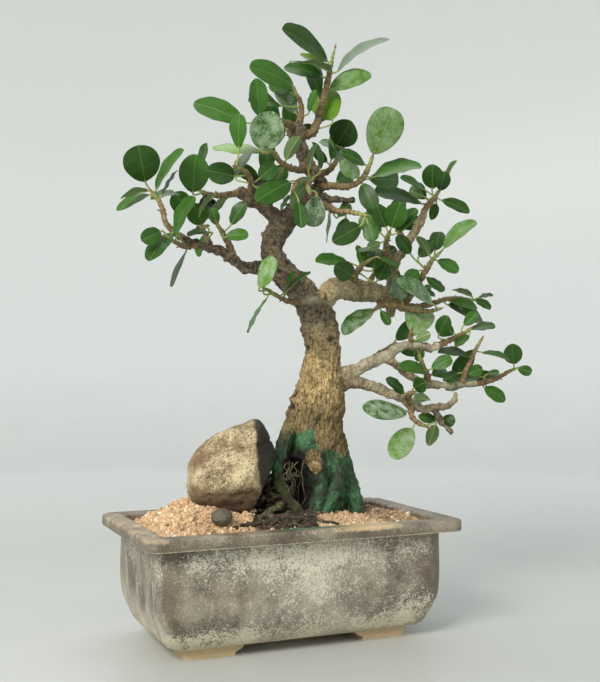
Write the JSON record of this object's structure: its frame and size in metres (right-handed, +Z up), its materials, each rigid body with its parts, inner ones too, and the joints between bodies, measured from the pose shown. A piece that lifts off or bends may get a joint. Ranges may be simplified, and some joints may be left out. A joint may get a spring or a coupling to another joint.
{
  "type": "ficus compacta bonsai",
  "caption": "Ficus bonsai with flared roots, curved leader and leafy branches, in a lipped rectangular footed pot with sandy soil, a leaning stone and a pebble.",
  "frame": {"origin": "middle of the bounding box's base, on the surface that the feet stand on", "axes": "+Z up, +X along the pot's long side to the right as seen from the front, +Y to the back"},
  "size_m": [0.3694, 0.1576, 0.4821],
  "materials": {
    "glazed_clay": "matt brown-grey glaze with cream lime deposits",
    "sandy_soil": "coarse loose sand",
    "beige_stone": "rough, pitted",
    "grey_stone": "dark, speckled",
    "bark": "fissured bark, green stain at the base",
    "leaves": "glossy thick leaf",
    "screen_plastic": "moulded plastic mesh"
  },
  "bodies": {
    "root": {"drain_screen_left": "screen_plastic", "drain_screen_right": "screen_plastic", "pebble": "grey_stone", "pot": "glazed_clay", "shoot_apex": "leaves", "shoot_back_crown": "leaves", "shoot_back_left": "leaves", "shoot_back_low": "leaves", "shoot_back_middle": "leaves", "shoot_back_right": "leaves", "shoot_crown_far_right": "leaves", "shoot_crown_front": "leaves", "shoot_crown_hub": "leaves", "shoot_crown_left": "leaves", "shoot_crown_low_right": "leaves", "shoot_crown_mid": "leaves", "shoot_crown_right": "leaves", "shoot_fork_sprout": "leaves", "shoot_left_inner": "leaves", "shoot_left_low": "leaves", "shoot_left_mid": "leaves", "shoot_left_tip": "leaves", "shoot_left_upper": "leaves", "shoot_limb_under": "leaves", "shoot_low_end": "leaves", "shoot_low_front": "leaves", "shoot_low_hanging": "leaves", "shoot_low_middle": "leaves", "shoot_low_rise": "leaves", "shoot_low_round": "leaves", "shoot_low_tip": "leaves", "shoot_low_upper": "leaves", "shoot_mid_centre": "leaves", "shoot_mid_limb": "leaves", "shoot_mid_low": "leaves", "shoot_mid_right": "leaves", "shoot_mid_top": "leaves", "soil": "sandy_soil", "stone": "beige_stone", "trunk": "bark"}
  },
  "joints": []
}
